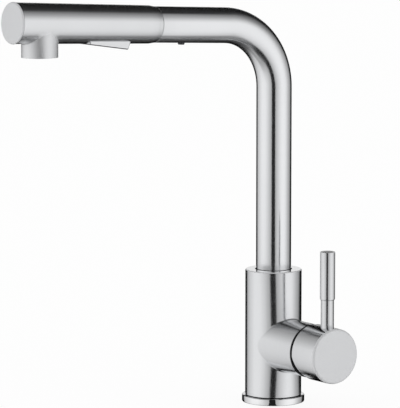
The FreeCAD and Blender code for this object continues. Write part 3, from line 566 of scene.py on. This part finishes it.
strands = []
for hand in (1, -1):
    bpy.ops.object.select_all(action="DESELECT")
    bpy.ops.mesh.primitive_circle_add(
        vertices=strand_sides, radius=strand_radius, rotation=(math.radians(90), 0, 0),
        location=(hose_radius - strand_radius, 0, -hose_length / 2))
    first = bpy.context.object
    bpy.ops.object.transform_apply(location=True, rotation=True)
    winding = first.modifiers.new("winding", "SCREW")
    winding.angle = hand * winding_turns * 2 * math.pi
    winding.screw_offset = hose_length
    winding.steps = winding_steps
    winding.render_steps = winding_steps
    bpy.ops.object.modifier_apply(modifier=winding.name)
    bpy.ops.object.mode_set(mode="EDIT")
    bpy.ops.mesh.select_all(action="SELECT")
    bpy.ops.mesh.normals_make_consistent(inside=False)
    bpy.ops.object.mode_set(mode="OBJECT")
    bpy.ops.object.shade_smooth()
    for index in range(strand_count):
        strand = bpy.data.objects.new("strand", first.data.copy())
        bpy.context.scene.collection.objects.link(strand)
        turn = 2 * math.pi * (index + hand_offset * hand) / strand_count
        strands.append(settled(strand, hose_frame @ Matrix.Rotation(turn, 4, "Z")))
    bpy.data.objects.remove(first)
bpy.ops.object.select_all(action="DESELECT")
for strand in strands:
    strand.select_set(True)
bpy.context.view_layer.objects.active = strands[0]
bpy.ops.object.join()
braid = bpy.context.object
braid.name = "pull_hose_braid"
braid.data.materials.append(hose_nylon)
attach(braid, "spray_head")
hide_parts("pull_hose")

# Spray head: the tapered steel tube that is pulled out of the spout, with the outlet
# branch below. It is brushed round its length, and the branch round its own axis.
head_frame = Matrix.Translation((0, 0, spout_height)) @ along_head
head_radius = 0.0156
aerator_low, aerator_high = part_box("aerator")
nozzle_axis = (aerator_low + aerator_high) / 2
nozzle_frame = Matrix.Translation((0, nozzle_axis.y, 0))
nozzle_radius, nozzle_fillet = 0.014, 0.0018
branch_margin = 0.0001


def on_branch(spot):
    """Whether a point of the head lies on the outlet branch, below the tube."""
    local = head_frame.inverted() @ spot
    near = math.hypot(spot.x, spot.y - nozzle_axis.y) < nozzle_radius + nozzle_fillet
    return near and local.y < 0 and math.hypot(local.x, local.y) > head_radius + branch_margin


head = copied("head_shell", "spray_head_brushed")
wrapped(head, [(on_branch, nozzle_frame, nozzle_radius), (everywhere, head_frame, head_radius)])
head.data.materials.append(brushed_steel("spray_head_steel", 0.24))
# Painted light: the branch gets a lighter copy of the head's steel, which is also rougher and less drawn
# out.
head.data.materials.append(
    brushed_steel("branch_steel_painted_lighter", 0.53, colour=(0.87, 0.877, 0.89), drawn_out=0.2))
for face in head.data.polygons:
    face.material_index = 1 if on_branch(face.center) else 0
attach(head, "spray_head")
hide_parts("head_shell")

# Front cap: the turned disc that closes the head, with a satin face.
# Its spigot is pressed into the tube.
front_edge = 0.0014
front_cap = copied("front_cap", "front_cap_brushed")
wrapped(front_cap, [(everywhere, head_frame, head_radius)])
front_cap.data.materials.append(brushed_steel("front_cap_steel", 0.24))
faced(front_cap, head_frame, end_face_steel, front_edge)
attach(front_cap, "spray_head")
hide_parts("front_cap")

# Toggle: the rocker below the head that changes stream to spray.
# It is moulded in black plastic and plated with a satin finish like the steel beside it, and the faces
# that look downward are painted black as shade.
painted_shade_tilt = -0.25
toggle = copied("toggle_rocker", "toggle_plated")
toggle.data.materials.append(satin_steel("satin_toggle", 0.26, colour=(0.76, 0.767, 0.78)))
toggle.data.materials.append(black_plastic)
# Painted shade: faces that look downward get the black plastic.
for face in toggle.data.polygons:
    face.material_index = 1 if face.normal.z < painted_shade_tilt else 0
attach(toggle, "toggle")
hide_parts("toggle_rocker")

# Floor and light: a white studio. The floor and the background are white to the camera.
# Metal doesn't mirror the floor. It mirrors a white room that is dark overhead and behind,
# with a low bright strip there, and grey underfoot, and a tall, nearly black card in front.
floor_size, floor_drop = 12, 0.0001
floor_white, floor_shine = 0.9, 0.9

bpy.ops.object.select_all(action="DESELECT")
bpy.ops.mesh.primitive_plane_add(size=floor_size, location=(0, 0, -floor_drop))
floor = bpy.context.object
floor.name = "floor"
bpy.ops.object.transform_apply(location=True)
floor.visible_glossy = False
floor_paint, floor_tree, floor_shader = finish("floor_paint")
floor_shader.inputs["Base Color"].default_value = (floor_white, floor_white, floor_white, 1)
floor_shader.inputs["Roughness"].default_value = 1.0
floor_glow = put(floor_tree, "Emission", Color=(1, 1, 1, 1), Strength=1.0)
floor_path = put(floor_tree, "LightPath")
floor_share = put(floor_tree, "Math", {"operation": "MULTIPLY"}, i0=floor_path.outputs["Is Camera Ray"],
                  i1=floor_shine)
floor_mix = put(floor_tree, "MixShader", i0=floor_share.outputs[0], i1=floor_shader.outputs[0],
                i2=floor_glow.outputs[0])
floor_tree.links.new(floor_mix.outputs[0], floor_tree.nodes["Material Output"].inputs["Surface"])
floor.data.materials.append(floor_paint)

view_azimuth = math.radians(-35.097)
card_turn = math.radians(4)
card_azimuth = view_azimuth - card_turn
card_distance, card_glow = 0.7, 0.014
card_width, card_foot = 0.285, 2.6
card_low, card_middle, card_high = -5.0, -0.15, 1.2


def dull_black(name):
    """A black that mirrors nothing."""
    material, tree, shader = finish(name)
    shader.inputs["Base Color"].default_value = (0, 0, 0, 1)
    shader.inputs["Specular IOR Level"].default_value = 0.0
    shader.inputs["Roughness"].default_value = 1.0
    return material, tree, shader


def mirrored_only(piece, name, paint):
    """Stages a piece that only shows in reflections."""
    piece.name = name
    bpy.ops.object.transform_apply(location=True, rotation=True, scale=True)
    piece.data.materials.append(paint)
    piece.visible_camera = False
    piece.visible_diffuse = False
    piece.visible_shadow = False
    piece.visible_transmission = False


# The card widens below the floor, where it is further off, so that it doesn't look narrower there.
card_black, _, card_shader = dull_black("card_black")
card_shader.inputs["Emission Color"].default_value = (1, 1, 1, 1)
card_shader.inputs["Emission Strength"].default_value = card_glow
for name, low, high, foot in (("black_card", card_middle, card_high, card_width),
                              ("black_card_low", card_low, card_middle, card_foot)):
    bpy.ops.object.select_all(action="DESELECT")
    bpy.ops.mesh.primitive_plane_add(
        size=1, rotation=(math.radians(90), 0, card_azimuth + math.radians(90)),
        location=(card_distance * math.cos(card_azimuth), card_distance * math.sin(card_azimuth),
                  (low + high) / 2))
    card = bpy.context.object
    for corner in card.data.vertices:
        if corner.co.y < 0:
            corner.co.x *= foot / card_width
    card.scale = (card_width, high - low, 1)
    mirrored_only(card, name, card_black)

# Reflections pass through the floor, so a sleeve that is black from outside hides the shank.
sleeve_radius, sleeve_depth, sleeve_gap, sleeve_sides = 0.024, 0.06, 0.0005, 64
sleeve_black, sleeve_tree, sleeve_shader = dull_black("sleeve_black")
sleeve_clear = put(sleeve_tree, "BsdfTransparent")
sleeve_side = put(sleeve_tree, "NewGeometry")
sleeve_mix = put(sleeve_tree, "MixShader", i0=sleeve_side.outputs["Backfacing"],
                 i1=sleeve_shader.outputs[0], i2=sleeve_clear.outputs[0])
sleeve_tree.links.new(sleeve_mix.outputs[0], sleeve_tree.nodes["Material Output"].inputs["Surface"])
bpy.ops.object.select_all(action="DESELECT")
bpy.ops.mesh.primitive_cylinder_add(vertices=sleeve_sides, radius=sleeve_radius, depth=sleeve_depth,
                                    location=(0, 0, -sleeve_depth / 2 - sleeve_gap))
mirrored_only(bpy.context.object, "dark_below_floor", sleeve_black)

# The room's light is set by bearing from the camera's side and by height. Height is measured
# mostly about the spout's axis, so that the bands of light and dark lie along the spout.
light_level, light_gain = 1.0, 1.04
axis_share = 0.387
studio = bpy.data.worlds.new("studio")
bpy.context.scene.world = studio
studio.use_nodes = True
room = studio.node_tree
direction = put(room, "TexCoord").outputs["Generated"]
turned_room = put(room, "VectorRotate", {"rotation_type": "Z_AXIS"}, Vector=direction,
                  Angle=-view_azimuth)
parts = put(room, "SeparateXYZ", Vector=turned_room.outputs[0])
bearing = put(room, "Math", {"operation": "ARCTAN2"}, i0=parts.outputs["Y"], i1=parts.outputs["X"])
share_round = put(room, "MapRange", Value=bearing.outputs[0], From_Min=-math.pi, From_Max=math.pi)
pressed = put(room, "VectorMath", {"operation": "MULTIPLY"}, i0=direction, i1=(1.0, axis_share, 0.0))
level = put(room, "VectorMath", {"operation": "LENGTH"}, i0=pressed.outputs[0])
rise = put(room, "Math", {"operation": "ARCTAN2"}, i0=parts.outputs["Z"], i1=level.outputs["Value"])
share_up = put(room, "MapRange", Value=rise.outputs[0], From_Min=-math.pi / 2, From_Max=math.pi / 2)


def ramp(value, stops):
    """A ramp of greys from (place, brightness) stops."""
    made = put(room, "ValToRGB", Fac=value)
    points = made.color_ramp.elements
    while len(points) > 1:
        points.remove(points[-1])
    for index, (place, grey) in enumerate(stops):
        point = points[0] if index == 0 else points.new(place)
        point.position = place
        point.color = (grey, grey, grey, 1)
    return made.outputs["Color"]


bearing_stops = [(-180, 0.0), (-141.5, 0.0), (-134, 0.48), (-124, 0.63), (-100, 0.81), (-85, 0.92),
                 (-60, 0.95), (-42, 0.785), (-28, 0.58), (-14, 0.44), (0, 0.43), (14, 0.51), (24, 0.66),
                 (42, 0.86), (58, 0.95), (74, 0.93), (84, 0.86), (96, 0.68), (109, 0.50), (124, 0.38),
                 (138, 0.0), (180, 0.0)]
height_stops = [(-77, 0.36), (-74, 0.26), (-68, 0.40), (-64, 0.62), (-59, 0.79), (-52, 0.86), (-43, 0.95),
                (-23, 1.0), (14, 1.0), (27, 0.84), (44, 0.52), (61, 0.32), (66.5, 0.22), (71, 0.06),
                (75, 0.0)]
behind_stops = [(-180, 0.76), (-168, 0.76), (-162, 0.0), (162, 0.0), (168, 0.76), (180, 0.76)]
low_stops = [(6.5, 0.0), (8.2, 1.0), (14, 1.0), (17.5, 0.0)]
all_round = [(-180, 1.0), (180, 1.0)]
faint_stops = [(-67, 0.075), (-50, 0.0), (66, 0.0), (75, 0.015)]


def zone(round_stops, up_stops):
    """A part of the room's light: its brightness by bearing times that by height, in degrees."""
    by_bearing = ramp(share_round.outputs[0], [(0.5 + turn / 360, grey) for turn, grey in round_stops])
    by_height = ramp(share_up.outputs[0], [(0.5 + tilt / 180, grey) for tilt, grey in up_stops])
    return put(room, "VectorMath", {"operation": "MULTIPLY"}, i0=by_bearing, i1=by_height).outputs[0]


bright_zones = put(room, "VectorMath", {"operation": "ADD"}, i0=zone(bearing_stops, height_stops),
                   i1=zone(behind_stops, low_stops))
all_zones = put(room, "VectorMath", {"operation": "ADD"}, i0=bright_zones.outputs[0],
                i1=zone(all_round, faint_stops))
mirrored = put(room, "VectorMath", {"operation": "SCALE"}, i0=all_zones.outputs[0], Scale=light_gain)
path = put(room, "LightPath")
seen = put(room, "MixRGB", Fac=path.outputs["Is Glossy Ray"], Color1=(1, 1, 1, 1),
           Color2=mirrored.outputs[0])
room.links.new(seen.outputs[0], room.nodes["Background"].inputs["Color"])
room.nodes["Background"].inputs["Strength"].default_value = light_level

# Camera: at the photograph's place, some 2.6 m away with a long lens.
eye = Vector((2.072947, -1.528499, 0.502567))
back = Vector((0.81099, -0.56991, 0.13227))
sensor_width, focal_length = 36, 287.74
far_end = 50
camera_data = bpy.data.cameras.new("camera")
camera_data.sensor_width = sensor_width
camera_data.lens = focal_length
camera_data.clip_end = far_end
camera = bpy.data.objects.new("camera", camera_data)
bpy.context.scene.collection.objects.link(camera)
camera.matrix_world = Matrix.Translation(eye) @ back.to_track_quat("Z", "Y").to_matrix().to_4x4()
bpy.context.scene.camera = camera
bpy.context.scene.view_settings.view_transform = "Standard"
